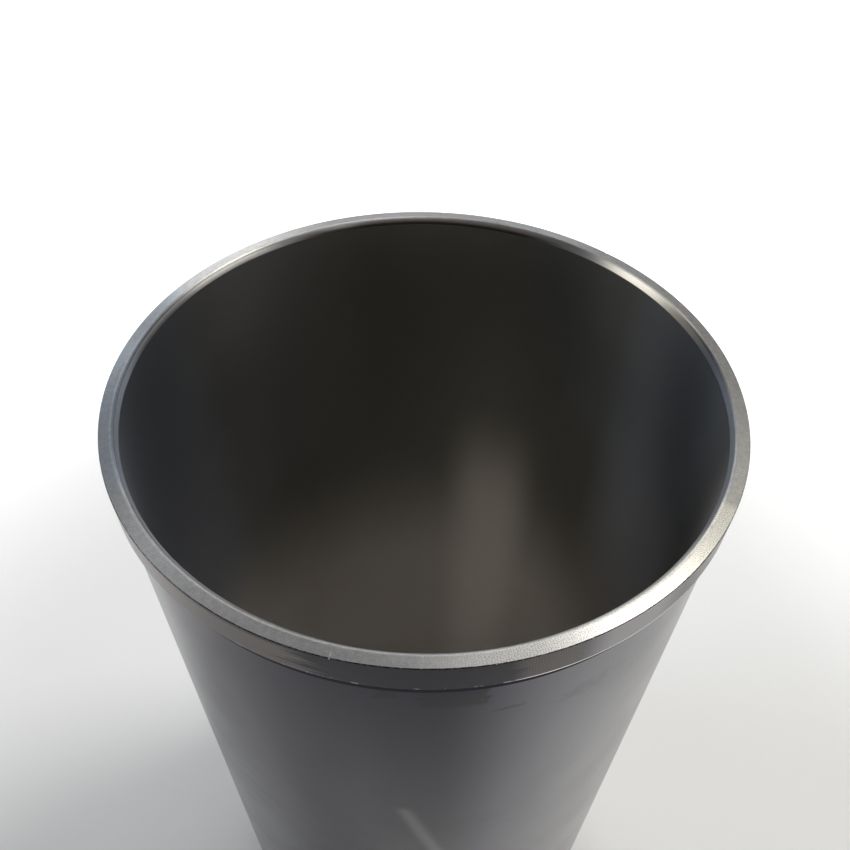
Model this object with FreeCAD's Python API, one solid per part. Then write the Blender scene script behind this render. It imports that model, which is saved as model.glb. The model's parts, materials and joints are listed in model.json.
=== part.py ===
import FreeCAD, Part
import math
import os

# Cylinder liner: a thin-walled tube with a narrow flange round its upper end.
# It is turned from one piece, so the whole of it is one half-section revolved about Z.
# Z runs along the bore, z = 0 is the foot, and the flange is at the top. Sizes are in millimetres.

# Main sizes
bore_diameter = 102.0
wall_thickness = 2.0
liner_length = 200.0

# Flange
flange_overhang = 0.85
flange_height = 5.6
flange_top_break = 0.1
flange_seat_break = 0.12

# Long steep chamfer at the mouth of the bore, which lets the piston rings in
mouth_chamfer_width = 0.68
mouth_chamfer_height = 1.3

# Relief groove in the body below the flange's seat, with a round root and a ramp at its lower end
relief_depth = 0.35
relief_height = 2.5
relief_root_radius = 0.4
relief_ramp_height = 0.5

# Foot, with a slim lead outside for pressing in and a small break inside
foot_lead_width = 0.6
foot_lead_height = 2.4
foot_bore_break = 0.4

# Radii that follow from the sizes
bore_radius = bore_diameter / 2
body_radius = bore_radius + wall_thickness
flange_radius = body_radius + flange_overhang
relief_radius = body_radius - relief_depth

# Heights that follow from the sizes
seat_z = liner_length - flange_height
relief_bottom_z = seat_z - relief_height
mouth_z = liner_length - mouth_chamfer_height


def section_point(radius, height):
    """A point of the half-section, in the XZ plane."""
    return FreeCAD.Vector(radius, 0, height)


def line(start, end):
    """A straight edge of the half-section."""
    return Part.LineSegment(section_point(*start), section_point(*end)).toShape()


def quarter_arc(start, centre, end):
    """A quarter circle about centre, from start to end."""
    middle_radius = centre[0] + (start[0] + end[0] - 2 * centre[0]) / math.sqrt(2)
    middle_height = centre[1] + (start[1] + end[1] - 2 * centre[1]) / math.sqrt(2)
    middle = section_point(middle_radius, middle_height)
    return Part.Arc(section_point(*start), middle, section_point(*end)).toShape()


def bore_edges(foot_inner, top_inner):
    """The bore, from the foot's face up to the flange's top face."""
    bore_low = (bore_radius, foot_bore_break)
    bore_high = (bore_radius, mouth_z)
    return [line(foot_inner, bore_low), line(bore_low, bore_high), line(bore_high, top_inner)]


def flange_edges(top_inner, seat_inner):
    """The flange's top face, its rim with both edges broken, and its seat."""
    top_outer = (flange_radius - flange_top_break, liner_length)
    rim_high = (flange_radius, liner_length - flange_top_break)
    rim_low = (flange_radius, seat_z + flange_seat_break)
    seat_outer = (flange_radius - flange_seat_break, seat_z)
    corners = [top_inner, top_outer, rim_high, rim_low, seat_outer, seat_inner]
    return [line(start, end) for start, end in zip(corners, corners[1:])]


def relief_edges(seat_inner, relief_low):
    """The relief groove: its round root under the flange, its wall, and its ramp out to the body."""
    root_centre = (seat_inner[0], seat_z - relief_root_radius)
    wall_high = (relief_radius, root_centre[1])
    wall_low = (relief_radius, relief_bottom_z + relief_ramp_height)
    root = quarter_arc(seat_inner, root_centre, wall_high)
    return [root, line(wall_high, wall_low), line(wall_low, relief_low)]


def body_edges(relief_low, foot_inner):
    """The ground outside, the slim lead at the foot, and the foot's face."""
    body_low = (body_radius, foot_lead_height)
    foot_outer = (body_radius - foot_lead_width, 0)
    return [line(relief_low, body_low), line(body_low, foot_outer), line(foot_outer, foot_inner)]


def make_cylinder_liner():
    """The liner's half-section, turned once round the Z axis."""
    foot_inner = (bore_radius + foot_bore_break, 0)
    top_inner = (bore_radius + mouth_chamfer_width, liner_length)
    seat_inner = (relief_radius + relief_root_radius, seat_z)
    relief_low = (body_radius, relief_bottom_z)
    edges = bore_edges(foot_inner, top_inner)
    edges += flange_edges(top_inner, seat_inner)
    edges += relief_edges(seat_inner, relief_low)
    edges += body_edges(relief_low, foot_inner)
    section = Part.Face(Part.Wire(edges))
    return section.revolve(FreeCAD.Vector(0, 0, 0), FreeCAD.Vector(0, 0, 1), 360)


def main():
    os.makedirs("parts", exist_ok=True)
    liner = make_cylinder_liner()
    liner.exportStep("parts/cylinder_liner.step")
    print("cylinder_liner:", liner.ShapeType, "valid", liner.isValid(), "volume", round(liner.Volume, 1))


main()
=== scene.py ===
import json
import math
from collections import namedtuple

import bpy
from mathutils import Matrix, Vector


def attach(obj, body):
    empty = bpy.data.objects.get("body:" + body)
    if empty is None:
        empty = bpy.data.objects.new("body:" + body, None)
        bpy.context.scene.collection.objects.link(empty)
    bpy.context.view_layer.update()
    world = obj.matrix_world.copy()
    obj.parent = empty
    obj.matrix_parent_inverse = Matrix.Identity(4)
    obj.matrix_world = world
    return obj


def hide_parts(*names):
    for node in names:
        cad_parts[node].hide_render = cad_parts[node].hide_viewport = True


# A flanged cylinder liner, standing on its foot with the flange up.
# Everything is in metres, in the frame's own axes: Z runs up the bore and z = 0 is the floor.
# An azimuth is in degrees round Z from the front, which is -Y, towards the right, which is +X.

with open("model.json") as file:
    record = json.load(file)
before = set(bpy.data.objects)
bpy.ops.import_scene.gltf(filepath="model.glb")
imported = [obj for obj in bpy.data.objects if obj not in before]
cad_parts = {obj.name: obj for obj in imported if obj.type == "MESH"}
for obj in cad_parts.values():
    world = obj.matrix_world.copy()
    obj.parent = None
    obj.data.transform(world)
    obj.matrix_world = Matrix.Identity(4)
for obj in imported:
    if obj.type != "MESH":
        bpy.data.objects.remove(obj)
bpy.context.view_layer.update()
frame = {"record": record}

MM = 0.001
upwards = Vector((0, 0, 1))
black = (0, 0, 0)
white = (1, 1, 1)

# Sizes that the frame's mounts give
mounts = {mount["name"]: mount for mount in frame["record"]["mounts"]}
bore_radius = mounts["bore"]["dims"]["r_mm"] * MM
body_radius = mounts["body_wall"]["dims"]["r_mm"] * MM
flange_radius = mounts["flange_rim"]["dims"]["r_mm"] * MM
top_z = mounts["top_face"]["pos_m"][2]
seat_z = mounts["flange_seat"]["pos_m"][2]

# Sizes of the liner's chamfers, breaks and relief
mouth_chamfer_width = 0.68 * MM
mouth_chamfer_height = 1.3 * MM
flange_top_break = 0.1 * MM
flange_seat_break = 0.12 * MM
relief_depth = 0.35 * MM
relief_height = 2.5 * MM
relief_ramp_height = 0.5 * MM
foot_lead_width = 0.6 * MM
foot_lead_height = 2.4 * MM
foot_bore_break = 0.4 * MM
mouth_edge_radius = bore_radius + mouth_chamfer_width
relief_bottom_z = seat_z - relief_height

# Roundings of the section's corners
crisp_edge = 0.04 * MM
handled_edge = 0.08 * MM
mouth_top_edge = 0.8 * MM
mouth_foot_edge = 0.3 * MM
relief_root = 0.4 * MM

# Nicks in the flange's top and seat edges. The half-width is measured along the edge.
Nick = namedtuple("Nick", "azimuth edge half_width depth")
nicks = [
    Nick(-12.1, "top", 0.18 * MM, 0.07 * MM),
    Nick(10.4, "top", 0.14 * MM, 0.06 * MM),
    Nick(24.5, "top", 0.18 * MM, 0.05 * MM),
    Nick(-12.2, "seat", 0.24 * MM, 0.10 * MM),
    Nick(-11.5, "seat", 0.18 * MM, 0.08 * MM),
    Nick(-9.6, "seat", 0.14 * MM, 0.06 * MM),
    Nick(137.0, "top", 0.22 * MM, 0.08 * MM),
    Nick(-71.0, "seat", 0.22 * MM, 0.07 * MM),
]

# A nick moves the surface as far as three of its half-widths away, and shows bare metal where it is deepest
nick_reach = 3
least_dent = 0.002 * MM
bare_dent = 0.045 * MM

# Fineness of the turned mesh
steps_round = 480
steps_per_edge = 4
rows_on_long_walls = 24
rows_near_edges = [0.12 * MM, 0.26 * MM, 0.42 * MM, 0.66 * MM]
degrees_beside_nick = 1.2
degrees_per_nick_step = 0.12

# The finishes that the faces of the section have, in the order of the liner's materials
finishes = ["turned", "break", "bore", "mouth", "face", "rim", "relief", "body", "bare"]

# A corner of the section, with its rounding and the finish of the face that follows it
Corner = namedtuple("Corner", "radius height rounding finish")

# A point of the rounded section, with the finish of the face that follows it
Ring = namedtuple("Ring", "point normal finish")


def section_corners():
    """The liner's half-section, once round from the inside of its foot."""
    relief_radius = body_radius - relief_depth
    return [
        Corner(bore_radius + foot_bore_break, 0, crisp_edge, "turned"),
        Corner(bore_radius, foot_bore_break, crisp_edge, "bore"),
        Corner(bore_radius, top_z - mouth_chamfer_height, mouth_foot_edge, "mouth"),
        Corner(mouth_edge_radius, top_z, mouth_top_edge, "face"),
        Corner(flange_radius - flange_top_break, top_z, crisp_edge, "break"),
        Corner(flange_radius, top_z - flange_top_break, handled_edge, "rim"),
        Corner(flange_radius, seat_z + flange_seat_break, handled_edge, "break"),
        Corner(flange_radius - flange_seat_break, seat_z, crisp_edge, "turned"),
        Corner(relief_radius, seat_z, relief_root, "relief"),
        Corner(relief_radius, relief_bottom_z + relief_ramp_height, crisp_edge, "relief"),
        Corner(body_radius, relief_bottom_z, crisp_edge, "body"),
        Corner(body_radius, foot_lead_height, handled_edge, "turned"),
        Corner(body_radius - foot_lead_width, 0, crisp_edge, "turned"),
    ]


def outward(direction):
    """The side of a stretch of the section that faces away from the metal."""
    return Vector((-direction.y, direction.x))


def rounded_corner(before, corner, after, rounding):
    """Points and normals of the arc that rounds a corner of the section."""
    way_in = (corner - before).normalized()
    way_out = (after - corner).normalized()
    turn = math.atan2(way_in.cross(way_out), way_in.dot(way_out))
    bisector = (way_out - way_in).normalized()
    centre = corner + bisector * (rounding / math.cos(turn / 2))
    side = 1 if turn < 0 else -1
    arc = []
    for step in range(steps_per_edge + 1):
        angle = turn * step / steps_per_edge
        normal = Matrix.Rotation(angle, 2) @ outward(way_in)
        arc.append((centre + normal * (side * rounding), normal))
    return arc


def places_along(start, end, finish):
    """How far along a straight stretch its extra rows of points lie, as distances from its start."""
    length = (end - start).length
    if finish in ("bore", "body"):
        return [length * row / rows_on_long_walls for row in range(1, rows_on_long_walls)]
    if finish in ("face", "rim"):
        return rows_near_edges + [length - distance for distance in reversed(rows_near_edges)]
    return []


def section_rings():
    """The rounded section as a closed list of rings."""
    corners = section_corners()
    places = [Vector((corner.radius, corner.height)) for corner in corners]
    count = len(corners)
    arcs = []
    for index in range(count):
        after = places[(index + 1) % count]
        arcs.append(rounded_corner(places[index - 1], places[index], after, corners[index].rounding))
    rings = []
    for index in range(count):
        finish = corners[index].finish
        rings += [Ring(point, normal, finish) for point, normal in arcs[index]]
        start, normal = arcs[index][-1]
        end = arcs[(index + 1) % count][0][0]
        for distance in places_along(start, end, finish):
            rings.append(Ring(start + (end - start).normalized() * distance, normal, finish))
    return rings


def azimuths():
    """The azimuths of the mesh's columns: even all round, with finer ones at the nicks."""
    columns = {round(360 * step / steps_round - 180, 3) for step in range(steps_round)}
    steps = round(degrees_beside_nick / degrees_per_nick_step)
    for nick in nicks:
        for step in range(-steps, steps + 1):
            columns.add(round(nick.azimuth + step * degrees_per_nick_step, 3))
    return sorted(columns)


def nick_edge(edge):
    """The middle of a broken flange edge in the section, and the direction into the metal."""
    if edge == "top":
        middle = Vector((flange_radius - flange_top_break / 2, top_z - flange_top_break / 2))
        return middle, Vector((-1, -1)).normalized()
    middle = Vector((flange_radius - flange_seat_break / 2, seat_z + flange_seat_break / 2))
    return middle, Vector((-1, 1)).normalized()


def dent(point, azimuth):
    """How far the nicks move a point of the section at an azimuth."""
    moved = Vector((0, 0))
    for nick in nicks:
        along = math.radians(azimuth - nick.azimuth) * flange_radius
        if abs(along) > nick_reach * nick.half_width:
            continue
        middle, inward = nick_edge(nick.edge)
        away = (point - middle).length
        reach = (along / nick.half_width) ** 2 + (away / nick.half_width) ** 2
        moved += inward * (nick.depth * math.exp(-reach))
    return moved


def turned_points(rings, columns):
    """The points and normals of the section turned round Z, and how far the nicks move each point."""
    points = []
    normals = []
    dents = []
    for ring in rings:
        for azimuth in columns:
            angle = math.radians(azimuth)
            across = Vector((math.sin(angle), -math.cos(angle), 0))
            moved = dent(ring.point, azimuth)
            place = ring.point + moved
            points.append(across * place.x + upwards * place.y)
            normals.append(across * ring.normal.x + upwards * ring.normal.y)
            dents.append(moved.length)
    return points, normals, dents


def turned_faces(rings, columns, dents):
    """The faces between the turned points, and the place of each face's finish in the list of finishes."""
    faces = []
    slots = []
    width = len(columns)
    for row, ring in enumerate(rings):
        low = row * width
        high = (row + 1) % len(rings) * width
        for column in range(width):
            following = (column + 1) % width
            face = (low + column, high + column, high + following, low + following)
            deepest = max(dents[corner] for corner in face)
            faces.append(face)
            slots.append(finishes.index("bare" if deepest > bare_dent else ring.finish))
    return faces, slots


def add_object(name, data):
    """A new object in the scene that shows a mesh, a lamp or a camera."""
    added = bpy.data.objects.new(name, data)
    bpy.context.scene.collection.objects.link(added)
    return added


def make_liner():
    """The section turned round Z, with the section's own normals, so that flats stay flat to their edges.

    In the nicks the mesh has its own normals.
    """
    rings = section_rings()
    columns = azimuths()
    points, normals, dents = turned_points(rings, columns)
    faces, slots = turned_faces(rings, columns, dents)
    mesh = bpy.data.meshes.new("liner")
    mesh.from_pydata(points, [], faces)
    mesh.polygons.foreach_set("material_index", slots)
    mesh.polygons.foreach_set("use_smooth", [True] * len(faces))
    for index, depth in enumerate(dents):
        if depth > least_dent:
            normals[index] = mesh.vertex_normals[index].vector.copy()
    mesh.normals_split_custom_set_from_vertices(normals)
    return add_object("liner", mesh)


class Nodes:
    """A short way to write nodes. An input is a number, a tuple or the output of another node."""

    def __init__(self, tree):
        self.tree = tree

    def add(self, kind, settings=None, inputs=None):
        node = self.tree.nodes.new(kind)
        for name, value in (settings or {}).items():
            setattr(node, name, value)
        for name, value in (inputs or {}).items():
            self.put(node.inputs[name], value)
        return node

    def put(self, socket, value):
        """Sets a socket, or links it to an output. A colour is given as red, green and blue."""
        if isinstance(value, bpy.types.NodeSocket):
            self.tree.links.new(value, socket)
        elif socket.type == "RGBA":
            socket.default_value = (*value, 1)
        else:
            socket.default_value = value

    def math(self, operation, *values):
        node = self.add("ShaderNodeMath", {"operation": operation})
        for socket, value in zip(node.inputs, values):
            self.put(socket, value)
        return node.outputs[0]

    def vector(self, operation, *values):
        node = self.add("ShaderNodeVectorMath", {"operation": operation})
        for socket, value in zip(node.inputs, values):
            self.put(socket, value)
        return node.outputs["Value" if operation == "LENGTH" else "Vector"]

    def split(self, vector):
        return self.add("ShaderNodeSeparateXYZ", None, {"Vector": vector}).outputs

    def noise_at(self, place, scale, detail):
        inputs = {"Vector": place, "Scale": scale, "Detail": detail}
        return self.add("ShaderNodeTexNoise", None, inputs).outputs[0]

    def both(self, mask, other):
        """Two masks or strengths taken together."""
        return self.math("MULTIPLY", mask, other)

    def ramp(self, value, start, end, low=0, high=1):
        """A smooth step from low, where the value is at start, to high, where it is at end."""
        inputs = {"Value": value, "From Min": start, "From Max": end, "To Min": low, "To Max": high}
        node = self.add("ShaderNodeMapRange", {"interpolation_type": "SMOOTHSTEP"}, inputs)
        return node.outputs["Result"]

    def mix(self, factor, low, high):
        """A colour between two others."""
        node = self.add("ShaderNodeMix", {"data_type": "RGBA"})
        inputs = [socket for socket in node.inputs if socket.enabled]
        for socket, value in zip(inputs, (factor, low, high)):
            self.put(socket, value)
        return next(socket for socket in node.outputs if socket.enabled)


# A tone over an arc of the liner, from its first azimuth to its last, fading over some degrees at both ends
ArcTone = namedtuple("ArcTone", "first last fade tone strength", defaults=[1])

# A dark patch on the wall: its azimuths, its heights in millimetres, how far its ends and its upper and
# lower edges fade, how strong it is, and how many degrees it leans for each millimetre of height
Stain = namedtuple("Stain", "first last low high fade_degrees fade_mm strength lean", defaults=[0])

# The wisps of the dark patches: their fineness round the wall and up it, and how many fades they sway an
# edge
wisp_round_scale = 0.5
wisp_height_scale = 0.9
wisp_round_sway = 6
wisp_height_sway = 4

# The back of the liner begins between these azimuths, on both sides
back_start = 140
back_end = 158

# Turned metal's gloss stretches across its grooves, which is a quarter turn from the tangent
gloss_turn = 0.25


class Finish(Nodes):
    """A metal surface's material, with the places on the liner that its texture follows.

    Its places, radii and heights are in millimetres, and its degrees are the azimuth.
    """

    def __init__(self, name, roughness, anisotropy):
        self.material = bpy.data.materials.new(name)
        self.material.use_nodes = True
        super().__init__(self.material.node_tree)
        self.shader = self.tree.nodes["Principled BSDF"]
        self.set("Metallic", 1)
        self.set("Roughness", roughness)
        self.set("Anisotropic", anisotropy)
        self.set("Anisotropic Rotation", gloss_turn)
        tangent = self.add("ShaderNodeTangent", {"direction_type": "RADIAL", "axis": "Z"})
        self.set("Tangent", tangent.outputs["Tangent"])
        place = self.add("ShaderNodeTexCoord").outputs["Object"]
        self.place = self.vector("MULTIPLY", place, (1 / MM, 1 / MM, 1 / MM))
        self.x, y, self.z = self.split(self.place)
        self.radius = self.vector("LENGTH", self.vector("MULTIPLY", self.place, (1, 1, 0)))
        self.radians = self.math("ARCTAN2", self.x, self.math("MULTIPLY", y, -1))
        self.degrees = self.math("MULTIPLY", self.radians, math.degrees(1))

    def set(self, name, value):
        self.put(self.shader.inputs[name], value)

    def noise(self, scale, detail=2):
        """Noise as fine in every direction, in patches per millimetre."""
        return self.noise_at(self.place, scale, detail)

    def stretched(self, round_scale, height_scale, detail=2):
        """Noise with its own fineness round the liner and along it, each in patches per millimetre."""
        place = self.vector("MULTIPLY", self.place, (round_scale, round_scale, height_scale))
        return self.noise_at(place, 1, detail)

    def fine_lines(self):
        """Fine uneven lines that run round the liner."""
        return self.stretched(0.05, 2.4, detail=3)

    def waves(self, round_count, height_pitch, sway):
        """A wave that goes a whole number of times round the liner, and climbs by a pitch in millimetres."""
        turns = self.math("MULTIPLY", self.radians, round_count)
        climb = self.math("MULTIPLY", self.z, 2 * math.pi / height_pitch)
        return self.math("SINE", self.math("ADD", self.math("ADD", turns, climb), sway))

    def between(self, value, start, end, fade):
        """1 where a value lies between start and end, and 0 outside. It fades over both ends."""
        rising = self.ramp(value, start - fade / 2, start + fade / 2)
        falling = self.ramp(value, end - fade / 2, end + fade / 2, 1, 0)
        return self.both(rising, falling)

    def arc(self, first, last, fade):
        """1 between two azimuths."""
        return self.between(self.degrees, first, last, fade)

    def behind(self):
        """1 on the back of the liner, and 0 on its front and its sides."""
        return self.ramp(self.math("ABSOLUTE", self.degrees), back_start, back_end)

    def lay(self, colour, tone, mask, strength=1):
        """The colour, with a tone laid over it where the mask is 1."""
        if strength < 1:
            mask = self.both(mask, strength)
        return self.mix(mask, colour, tone)

    def lay_arcs(self, colour, arc_tones, within=None):
        """The colour, with a tone laid over each arc, but nowhere outside the mask that they lie within."""
        for arc_tone in arc_tones:
            mask = self.arc(arc_tone.first, arc_tone.last, arc_tone.fade)
            if within is not None:
                mask = self.both(within, mask)
            colour = self.lay(colour, arc_tone.tone, mask, arc_tone.strength)
        return colour

    def patch(self, dark_patch):
        """1 inside a dark patch's wispy outline, and 0 outside."""
        wisps = self.stretched(wisp_round_scale, wisp_height_scale, detail=4)
        wisps = self.math("SUBTRACT", wisps, 0.5)
        above_middle = self.math("SUBTRACT", self.z, (dark_patch.low + dark_patch.high) / 2)
        upright = self.math("SUBTRACT", self.degrees, self.math("MULTIPLY", above_middle, dark_patch.lean))
        along = self.math("MULTIPLY_ADD", wisps, wisp_round_sway * dark_patch.fade_degrees, upright)
        height = self.math("MULTIPLY_ADD", wisps, wisp_height_sway * dark_patch.fade_mm, self.z)
        across = self.between(along, dark_patch.first, dark_patch.last, dark_patch.fade_degrees)
        return self.both(across, self.between(height, dark_patch.low, dark_patch.high, dark_patch.fade_mm))

    def bump(self, height, depth_mm):
        node = self.add("ShaderNodeBump", None, {"Height": height, "Distance": depth_mm * MM})
        self.set("Normal", node.outputs["Normal"])


# Tool marks: pitches in millimetres, and how many marks go once round the liner
facing_pitch = 0.34
face_chatter_count = 860
rim_chatter_count = 900
hone_count = 360
hone_pitch = 0.95

# Places on the liner in millimetres
top_mm = top_z / MM
rim_top_mm = (top_z - flange_top_break) / MM
rim_foot_mm = (seat_z + flange_seat_break) / MM
mouth_edge_mm = mouth_edge_radius / MM
# The bore's painted glow begins at the first height and is full at the second
painted_glow_top_mm = 130
painted_glow_full_mm = 72

# Painted reflections tint the mouth cream and dull blue on the right and blue on the left. Painted shade
# darkens its lower part on the left.
mouth_reflection_tones = [
    ArcTone(106, 136, 14, (0.62, 0.57, 0.48)),
    ArcTone(50, 104, 14, (0.26, 0.275, 0.32)),
    ArcTone(-96, -56, 14, (0.50, 0.56, 0.65)),
]
mouth_foot_painted_shade = [
    ArcTone(-140, -94, 14, (0.11, 0.10, 0.085), 0.75),
]

# The top face's colour is multiplied by these painted reflection tints, cool on the left and warm on the
# right, and by painted shade in two places
face_painted_light_tints = [
    ArcTone(-115, -60, 16, (0.90, 0.99, 1.12)),
    ArcTone(34, 126, 20, (0.93, 0.92, 0.86)),
    ArcTone(-113, -99, 10, (0.64, 0.69, 0.76)),
    ArcTone(84, 114, 20, (0.76, 0.745, 0.72)),
]

# Where the top face rolls over into the mouth, painted shade darkens it, apart from a painted cream
# reflection far round on the right
inner_edge_painted_light = [
    ArcTone(-60, 24, 16, (0.09, 0.09, 0.09), 0.62),
    ArcTone(-146, -106, 14, (0.16, 0.15, 0.12), 0.5),
    ArcTone(-112, -62, 12, (0.09, 0.10, 0.115), 0.5),
    ArcTone(62, 112, 12, (0.09, 0.10, 0.115), 0.5),
    ArcTone(106, 146, 14, (0.60, 0.56, 0.50)),
]

# Dark patches on the body, under the flange in front and one far down on the left
dark_patch_colour = (0.008, 0.007, 0.011)
dark_patches = [
    Stain(-6.2, -2.9, 189.4, 192.5, 1.2, 0.8, 0.8, 0.5),
    Stain(-0.2, 10.2, 187.3, 192.5, 1.0, 0.5, 0.8),
    Stain(12.0, 16.5, 184.4, 185.2, 1.5, 0.6, 0.5, 1.8),
    Stain(23.0, 33.0, 181.5, 184.5, 4.0, 1.6, 0.2),
    Stain(-42.0, -31.0, 126.0, 130.0, 5.0, 3.0, 0.35),
]


def turned_edges():
    """The flange's seat and the end, lead and break of the foot, fresh from the lathe."""
    finish = Finish("turned_edges", roughness=0.30, anisotropy=0.5)
    worn = finish.noise(0.9, detail=3)
    finish.set("Base Color", finish.mix(worn, (0.26, 0.26, 0.27), (0.46, 0.46, 0.46)))
    return finish.material


def flange_break():
    """The narrow breaks round the flange's top and seat, worn unevenly."""
    finish = Finish("flange_break", roughness=0.32, anisotropy=0.4)
    worn = finish.ramp(finish.noise(1.6, detail=4), 0.45, 0.62)
    finish.set("Base Color", finish.mix(worn, (0.04, 0.038, 0.045), (0.17, 0.17, 0.17)))
    return finish.material


def bare_metal():
    """Fresh metal in the nicks."""
    finish = Finish("bare_metal", roughness=0.34, anisotropy=0)
    grain = finish.noise(4)
    finish.set("Base Color", finish.mix(grain, (0.40, 0.40, 0.39), (0.62, 0.62, 0.60)))
    return finish.material


def mouth_chamfer():
    """The steep chamfer in the bore's mouth, turned like the face above it. At the back a painted highlight
    fades to painted shade at its foot.
    """
    finish = Finish("mouth_chamfer", roughness=0.33, anisotropy=0.84)
    streaks = finish.stretched(0.5, 0.5, detail=3)
    colour = finish.mix(streaks, (0.46, 0.46, 0.475), (0.58, 0.58, 0.59))
    # Painted reflections round the mouth
    colour = finish.lay_arcs(colour, mouth_reflection_tones)
    # Painted shade on the lower part at the left
    low = finish.ramp(finish.z, top_mm - 0.45, top_mm - 1.2)
    colour = finish.lay_arcs(colour, mouth_foot_painted_shade, low)
    # At the back, a painted highlight at the top fading to painted shade at the foot
    high = finish.ramp(finish.z, top_mm - 1.1, top_mm - 0.45)
    painted_back_light_and_shade = finish.mix(high, (0.07, 0.06, 0.05), (0.55, 0.54, 0.54))
    finish.set("Base Color", finish.mix(finish.behind(), colour, painted_back_light_and_shade))
    return finish.material


def face_scratches(finish):
    """1 on a short scratch across the top face and on a small bright dot near the mouth."""
    scratch = finish.between(finish.radius, 53, 53.5, fade=0.3)
    scratch = finish.both(finish.arc(-12.22, -12.02, fade=0.12), scratch)
    dot = finish.between(finish.radius, 52.15, 52.30, fade=0.1)
    dot = finish.both(finish.arc(0.42, 0.58, fade=0.1), dot)
    return finish.math("MAXIMUM", scratch, dot)


def face_inner_edge(finish, colour):
    """The top face's colour with painted shade and a painted reflection along its edge to the mouth, and at
    the back a painted highlight on that edge, with painted shade over the rest of the face.
    """
    # Painted shade and a painted cream reflection along the edge to the mouth
    inner = finish.ramp(finish.radius, mouth_edge_mm + 0.42, mouth_edge_mm + 0.07)
    colour = finish.lay_arcs(colour, inner_edge_painted_light, inner)
    # Painted shade over the back of the face
    behind = finish.behind()
    colour = finish.lay(colour, (0.15, 0.15, 0.155), behind, 0.5)
    # A painted highlight along the inner edge at the back
    painted_back_edge_highlight = finish.ramp(finish.radius, mouth_edge_mm + 0.47, mouth_edge_mm + 0.12)
    return finish.lay(colour, (0.74, 0.74, 0.76), finish.both(painted_back_edge_highlight, behind))


def turned_face():
    """The flange's top face: rings from the facing tool, and at the right the grid of a chattering tool."""
    finish = Finish("turned_face", roughness=0.36, anisotropy=0.86)

    # Tool marks and grain
    rings = finish.math("SINE", finish.math("MULTIPLY", finish.radius, 2 * math.pi / facing_pitch))
    sway = finish.math("MULTIPLY", finish.noise(0.35), 16)
    turns = finish.math("MULTIPLY", finish.radians, face_chatter_count)
    chatter = finish.math("SINE", finish.math("ADD", turns, sway))
    crossed = finish.math("MULTIPLY", rings, chatter)
    marks = finish.math("ADD", finish.math("MULTIPLY", rings, 0.5), crossed)
    grain = finish.noise(4.5, detail=3)
    finish.bump(finish.math("MULTIPLY_ADD", grain, 1.6, marks), depth_mm=0.002)
    finish.set("Roughness", finish.ramp(grain, 0.3, 0.7, 0.33, 0.39))
    patches = finish.noise(1.1, detail=3)
    contrast = finish.math("MULTIPLY_ADD", grain, 0.6, finish.math("MULTIPLY", patches, 0.4))
    contrast = finish.ramp(contrast, 0.34, 0.66)
    colour = finish.mix(contrast, (0.24, 0.24, 0.242), (0.34, 0.34, 0.342))

    # The chattered part is lighter, with pits and glinting crests
    chattered = finish.ramp(finish.degrees, -2, 14, low=0.08)
    chattered = finish.both(chattered, finish.ramp(finish.degrees, 60.5, 58.5))
    uneven = finish.math("MULTIPLY_ADD", finish.noise(6), 5, -2.5)
    grid = finish.math("MULTIPLY_ADD", crossed, 0.42, uneven)
    grid = finish.math("MULTIPLY_ADD", chatter, 0.26, grid)
    pitted = finish.both(finish.ramp(grid, -0.25, -0.75), chattered)
    glinting = finish.both(finish.ramp(grid, 0.25, 0.75), chattered)
    colour = finish.lay(colour, (0.52, 0.51, 0.49), chattered, 0.62)
    colour = finish.lay(colour, (0.22, 0.215, 0.20), pitted)
    colour = finish.lay(colour, (0.54, 0.52, 0.49), glinting)

    # Painted reflection tints and painted shade round the face and along its inner edge
    colour = finish.vector("MULTIPLY", colour, finish.lay_arcs(white, face_painted_light_tints))
    colour = face_inner_edge(finish, colour)
    colour = finish.lay(colour, (0.50, 0.50, 0.48), face_scratches(finish))
    finish.set("Base Color", colour)
    return finish.material


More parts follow.
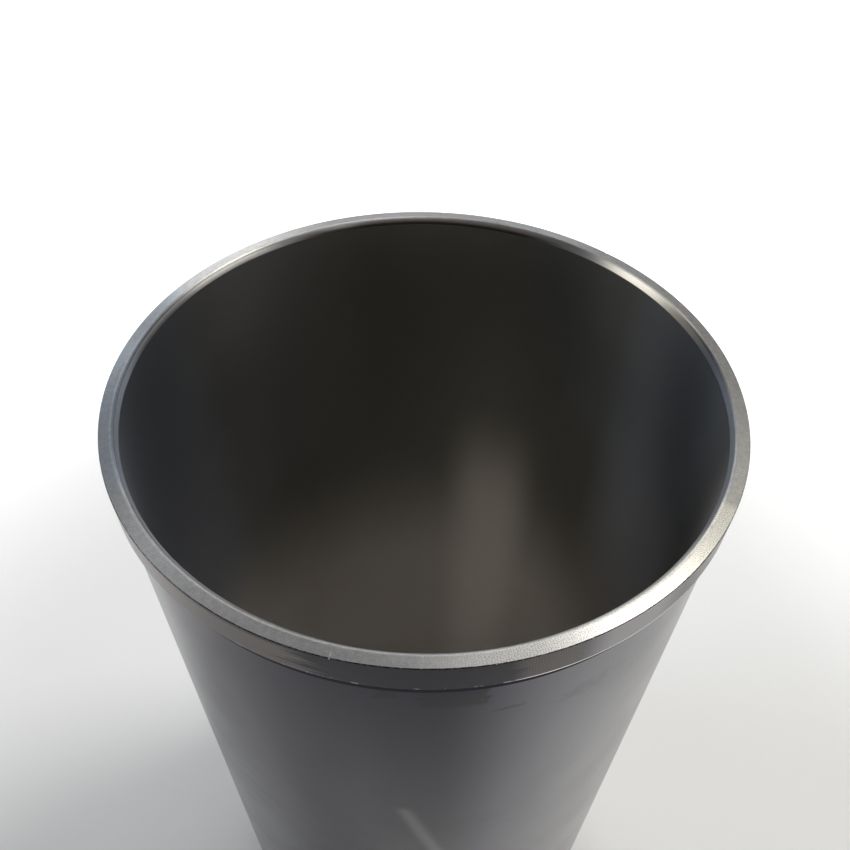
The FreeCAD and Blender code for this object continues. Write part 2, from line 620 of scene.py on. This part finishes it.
def flange_rim():
    """The rim: painted shade makes it near black in front, with a painted grey reflection at the right; worn
    brown at the left and behind, and chattered at the right.
    """
    finish = Finish("flange_rim", roughness=0.24, anisotropy=0.6)
    lines = finish.fine_lines()
    streaks = finish.stretched(0.12, 2, detail=4)
    chatter = finish.math("SINE", finish.math("MULTIPLY_ADD", finish.radians, rim_chatter_count, finish.z))
    finish.bump(finish.math("MULTIPLY_ADD", chatter, 0.2, lines), depth_mm=0.002)

    # Painted shade: near black, with a smooth painted grey reflection stretch at the right
    coat_and_painted_light = finish.mix(lines, (0.010, 0.008, 0.013), (0.026, 0.023, 0.029))
    coat_and_painted_light = finish.lay(coat_and_painted_light, (0.27, 0.253, 0.265), finish.arc(25, 40, fade=9))

    # Worn brown in streaks, and in a small chattered patch at the right
    worn_left = finish.ramp(finish.math("MULTIPLY_ADD", streaks, 18, finish.degrees), -11, -5, 1, 0)
    worn_behind = finish.ramp(finish.degrees, 58, 84)
    brown = finish.mix(lines, (0.095, 0.084, 0.076), (0.165, 0.148, 0.135))
    coat_and_painted_light = finish.lay(coat_and_painted_light, brown, finish.math("MAXIMUM", worn_left, worn_behind))
    ragged = finish.math("MULTIPLY_ADD", streaks, -4, finish.degrees)
    grid = finish.math("MULTIPLY_ADD", chatter, 0.22, 0.78)
    worn_right = finish.both(finish.between(ragged, 12, 21.5, fade=3.5), grid)
    coat_and_painted_light = finish.lay(coat_and_painted_light, (0.100, 0.088, 0.078), worn_right)

    # A ragged dark line along the top at the left: painted shade
    ragged_top = finish.math("MULTIPLY_ADD", streaks, 1.2, finish.z)
    painted_top_shade = finish.ramp(ragged_top, rim_top_mm - 0.15, rim_top_mm + 0.25)
    painted_top_shade = finish.both(painted_top_shade, finish.arc(-60, -16, fade=12))
    coat_and_painted_light = finish.lay(coat_and_painted_light, (0.012, 0.010, 0.014), painted_top_shade, 0.85)

    # Dashes of worn metal along the seat, with a painted highlight that makes them brightest at the right
    painted_right_highlight = finish.arc(14, 44, fade=8)
    dashes = finish.math("MULTIPLY_ADD", painted_right_highlight, 0.4, finish.stretched(0.9, 0.1, detail=3))
    foot_line = finish.ramp(finish.z, rim_foot_mm + 0.34, rim_foot_mm + 0.16)
    worn_metal_and_highlight = finish.mix(painted_right_highlight, (0.32, 0.31, 0.32), (0.80, 0.79, 0.80))
    coat_and_painted_light = finish.lay(coat_and_painted_light, worn_metal_and_highlight, finish.both(finish.ramp(dashes, 0.55, 0.68), foot_line))
    finish.set("Base Color", coat_and_painted_light)
    return finish.material


def relief_groove():
    """The dark relief under the flange."""
    finish = Finish("relief_groove", roughness=0.35, anisotropy=0.3)
    colour = finish.mix(finish.fine_lines(), (0.034, 0.032, 0.040), (0.056, 0.053, 0.062))
    finish.set("Base Color", colour)
    return finish.material


def painted_body_highlight(finish):
    """1 on a narrow painted highlight that leans as it climbs the body."""
    leaning = finish.math("MULTIPLY_ADD", finish.z, 0.30, finish.degrees)
    painted_highlight_mask = finish.between(leaning, 40.7, 43.3, fade=2.4)
    painted_highlight_mask = finish.both(painted_highlight_mask, finish.ramp(finish.z, 149.5, 146))
    return finish.both(painted_highlight_mask, finish.ramp(finish.z, 100, 125))


def ground_body():
    """The ground outside: painted shade in a band down the front, with faint dark patches and a painted
    highlight below.
    """
    finish = Finish("ground_body", roughness=0.2, anisotropy=0.6)
    lines = finish.fine_lines()
    patches = finish.noise(0.06, detail=4)
    tone = finish.math("MULTIPLY_ADD", lines, 0.4, finish.math("MULTIPLY", patches, 0.6))
    finish.set("Roughness", finish.ramp(tone, 0.35, 0.65, 0.18, 0.23))
    finish.bump(lines, depth_mm=0.0012)

    # Painted shade darkens the front, and painted reflections make it paler to the right of that and at both
    # sides
    coat_and_painted_light = finish.mix(tone, (0.074, 0.070, 0.089), (0.100, 0.096, 0.115))
    coat_and_painted_light = finish.lay(coat_and_painted_light, (0.195, 0.192, 0.206), finish.ramp(finish.degrees, 10, 36))
    left = finish.ramp(finish.degrees, -42, -58)
    right = finish.ramp(finish.degrees, 48, 62)
    coat_and_painted_light = finish.lay(coat_and_painted_light, (0.150, 0.148, 0.160), finish.math("MAXIMUM", left, right))
    # Painted shade down the front
    dark = finish.mix(tone, (0.013, 0.011, 0.020), (0.025, 0.022, 0.034))
    front = finish.both(finish.ramp(finish.degrees, -36, -12), finish.ramp(finish.degrees, 18, 3))
    coat_and_painted_light = finish.lay(coat_and_painted_light, dark, front)

    # Dark patches and the painted highlight
    for dark_patch in dark_patches:
        coat_and_painted_light = finish.lay(coat_and_painted_light, dark_patch_colour, finish.patch(dark_patch), dark_patch.strength)
    # A pale painted highlight low on the body
    coat_and_painted_light = finish.lay(coat_and_painted_light, (0.14, 0.14, 0.142), painted_body_highlight(finish), 0.8)
    finish.set("Base Color", coat_and_painted_light)
    return finish.material


def honed_bore():
    """The honed bore: two sets of fine scratches that cross, and one faint paler band, a painted streak of
    reflected light.

    Painted reflections make it cool at its sides, and a painted glow makes it warmer and lighter down
    towards the foot.
    """
    finish = Finish("honed_bore", roughness=0.35, anisotropy=0.75)

    # Honing scratches
    drift = finish.math("MULTIPLY", finish.noise(0.12, detail=3), 14)
    rising = finish.waves(hone_count, hone_pitch, drift)
    falling = finish.waves(-hone_count, hone_pitch, drift)
    crossed = finish.math("MAXIMUM", rising, falling)
    fine = finish.noise(2.5, detail=3)
    height = finish.math("MULTIPLY_ADD", fine, 1.5, finish.math("MULTIPLY", crossed, -0.6))
    finish.bump(height, depth_mm=0.0012)

    # Painted light: cool reflections at the sides, shade at the left, a glow towards the foot, and the
    # painted streak
    side = finish.math("DIVIDE", finish.x, finish.radius)
    painted_right_reflection = finish.both(finish.ramp(side, 0.78, 0.97), finish.ramp(finish.degrees, 74, 92))
    tone = finish.mix(painted_right_reflection, (0.32, 0.317, 0.30), (0.56, 0.59, 0.65))
    tone = finish.lay(tone, (0.25, 0.25, 0.245), finish.ramp(side, -0.35, -0.75))
    tone = finish.lay(tone, (0.33, 0.35, 0.40), finish.ramp(side, -0.85, -1))
    tone = finish.lay(tone, (0.72, 0.67, 0.61), finish.ramp(finish.z, painted_glow_top_mm, painted_glow_full_mm))
    # A painted streak of reflected light down the far wall
    painted_streak = finish.both(finish.arc(147, 168, fade=15), finish.ramp(finish.z, 150, 108, high=0.8))
    tone = finish.lay(tone, (0.98, 0.92, 0.85), painted_streak)
    speckle = finish.mix(fine, (0.88, 0.88, 0.88), white)
    finish.set("Base Color", finish.vector("MULTIPLY", tone, speckle))
    return finish.material


def dress_liner(liner):
    """Gives the liner the materials of its finishes."""
    looks = {
        "turned": turned_edges(),
        "break": flange_break(),
        "bore": honed_bore(),
        "mouth": mouth_chamfer(),
        "face": turned_face(),
        "rim": flange_rim(),
        "relief": relief_groove(),
        "body": ground_body(),
        "bare": bare_metal(),
    }
    for finish in finishes:
        liner.data.materials.append(looks[finish])


# Camera, where it stood for the photograph: in front, close above the flange, looking down into the bore
camera_distance = 100.8 * MM
camera_above_top = 91.44 * MM
camera_down_degrees = 45.67
camera_turn_degrees = 0.05
camera_roll_degrees = 1.34
camera_sensor_mm = 36
camera_lens_mm = 33.54
camera_near = 0.005
camera_far = 50


def make_camera():
    data = bpy.data.cameras.new("camera")
    data.sensor_width = camera_sensor_mm
    data.lens = camera_lens_mm
    data.clip_start = camera_near
    data.clip_end = camera_far
    camera = add_object("camera", data)
    place = Matrix.Translation((0, -camera_distance, top_z + camera_above_top))
    turn = Matrix.Rotation(math.radians(-camera_turn_degrees), 4, "Z")
    tilt = Matrix.Rotation(math.radians(90 - camera_down_degrees), 4, "X")
    roll = Matrix.Rotation(math.radians(camera_roll_degrees), 4, "Z")
    camera.matrix_world = place @ turn @ tilt @ roll
    bpy.context.scene.camera = camera


# The floor is pale, and far off it glows as white as the backdrop that it runs into.
# Between the liner's shadow and that far part, a lift keeps the views and reflections of it light.
floor_half_side = 6
floor_colour = (0.9, 0.9, 0.9)
floor_roughness = 0.9
floor_far_start = 0.6
floor_far_end = 1.8
floor_glow = 0.97
floor_lift = 0.52
lift_start = 0.15
lift_end = 0.34

# The room: a white backdrop, which metal mirrors only low round the horizon, where no lamp stands before it.
# Higher up the metal mirrors the lamps in a dim room, a little warm in front and a little cool elsewhere.
room_fill = (0.018, 0.020, 0.023)
front_fill = (0.075, 0.060, 0.050)
backdrop = (0.97, 0.97, 0.97)
front_start = -0.2
front_end = -0.9
band_top_start = 0.04
band_top_end = 0.17


def background_share(nodes, mirrored_share=1):
    """1 for the views and reflections that show the background, and 0 for the light that falls on things."""
    path = nodes.add("ShaderNodeLightPath").outputs
    mirrored = nodes.math("MAXIMUM", path["Is Glossy Ray"], path["Is Transmission Ray"])
    return nodes.math("MAXIMUM", path["Is Camera Ray"], nodes.both(mirrored, mirrored_share))


def floor_material():
    material = bpy.data.materials.new("floor_white")
    material.use_nodes = True
    nodes = Nodes(material.node_tree)
    distance = nodes.vector("LENGTH", nodes.add("ShaderNodeTexCoord").outputs["Object"])
    far = nodes.ramp(distance, floor_far_start, floor_far_end)
    past_shadow = nodes.ramp(distance, lift_start, lift_end, 0, floor_lift)
    lift = nodes.both(background_share(nodes), nodes.both(past_shadow, nodes.math("SUBTRACT", 1, far)))
    shader = nodes.tree.nodes["Principled BSDF"].inputs
    nodes.put(shader["Base Color"], nodes.mix(far, floor_colour, black))
    nodes.put(shader["Roughness"], floor_roughness)
    nodes.put(shader["Specular IOR Level"], 0)
    nodes.put(shader["Emission Color"], white)
    nodes.put(shader["Emission Strength"], nodes.math("MULTIPLY_ADD", far, floor_glow, lift))
    return material


def make_floor():
    side = floor_half_side
    corners = [(-side, -side, 0), (side, -side, 0), (side, side, 0), (-side, side, 0)]
    mesh = bpy.data.meshes.new("floor")
    mesh.from_pydata(corners, [], [(0, 1, 2, 3)])
    mesh.materials.append(floor_material())
    add_object("floor", mesh)


def make_world():
    world = bpy.data.worlds.new("room")
    bpy.context.scene.world = world
    world.use_nodes = True
    nodes = Nodes(world.node_tree)
    direction = nodes.add("ShaderNodeTexCoord").outputs["Generated"]
    level = nodes.vector("NORMALIZE", nodes.vector("MULTIPLY", direction, (1, 1, 0)))
    fill = nodes.mix(nodes.ramp(nodes.split(level)["Y"], front_start, front_end), room_fill, front_fill)
    band = nodes.ramp(nodes.split(direction)["Z"], band_top_start, band_top_end, 1, 0)
    share = background_share(nodes, band)
    nodes.put(nodes.tree.nodes["Background"].inputs["Color"], nodes.mix(share, fill, backdrop))


# Soft lamps aimed at the flange. Brightness is how light a lamp makes white paper that faces it.
Lamp = namedtuple("Lamp", "name azimuth elevation distance width height brightness colour")
lamps = [
    Lamp("key", 112.6, 58.8, 1.2, 0.35, 0.35, 0.53, (1, 0.99, 0.95)),
    Lamp("overhead", 112.6, 84, 1.3, 0.3, 0.3, 0.045, (1, 1, 1)),
    Lamp("warm_side", 132, 43, 1.3, 0.75, 0.3, 0.07, (1, 0.96, 0.90)),
    Lamp("back_high_right", 166, 52, 1.5, 0.5, 0.4, 0.08, (1, 0.99, 0.97)),
    Lamp("back_high_left", 195, 50, 1.6, 0.5, 0.4, 0.045, (1, 0.99, 0.98)),
    Lamp("back_low", 183, 18, 1.6, 1.0, 0.4, 0.29, (0.98, 0.99, 1)),
    Lamp("back_right", 150, 20, 1.6, 0.7, 0.4, 0.04, (1, 1, 1)),
    Lamp("back_left", 210, 20, 1.6, 0.7, 0.4, 0.09, (0.85, 0.94, 1)),
    Lamp("back_strip", 199, 33, 1.6, 0.25, 0.3, 0.038, (1, 0.98, 0.95)),
    Lamp("left", 268, 34, 1.6, 0.6, 0.5, 0.23, (0.86, 0.93, 1)),
    Lamp("side_right", 81, 14, 1.6, 0.9, 0.31, 0.10, (1, 0.95, 0.86)),
    Lamp("side_left", -84, 14, 1.6, 0.7, 0.31, 0.06, (1, 0.95, 0.86)),
    Lamp("front_glint", 35, 22, 1.6, 0.25, 0.22, 0.012, (1, 0.97, 0.90)),
]


def make_lamp(lamp):
    data = bpy.data.lights.new(lamp.name, "AREA")
    data.shape = "ELLIPSE" if lamp.width == lamp.height else "RECTANGLE"
    data.size = lamp.width
    data.size_y = lamp.height
    data.energy = lamp.brightness * math.pi ** 2 * lamp.distance ** 2
    data.color = lamp.colour
    turn = math.radians(lamp.azimuth)
    rise = math.radians(lamp.elevation)
    toward = Vector((math.cos(rise) * math.sin(turn), -math.cos(rise) * math.cos(turn), math.sin(rise)))
    stand = add_object(lamp.name, data)
    stand.location = upwards * top_z + toward * lamp.distance
    stand.rotation_mode = "QUATERNION"
    stand.rotation_quaternion = toward.to_track_quat("Z", "Y")


liner = make_liner()
dress_liner(liner)
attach(liner, "root")
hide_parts("cylinder_liner")

make_floor()
make_world()
for lamp in lamps:
    make_lamp(lamp)
make_camera()

bpy.context.scene.view_settings.view_transform = "Standard"
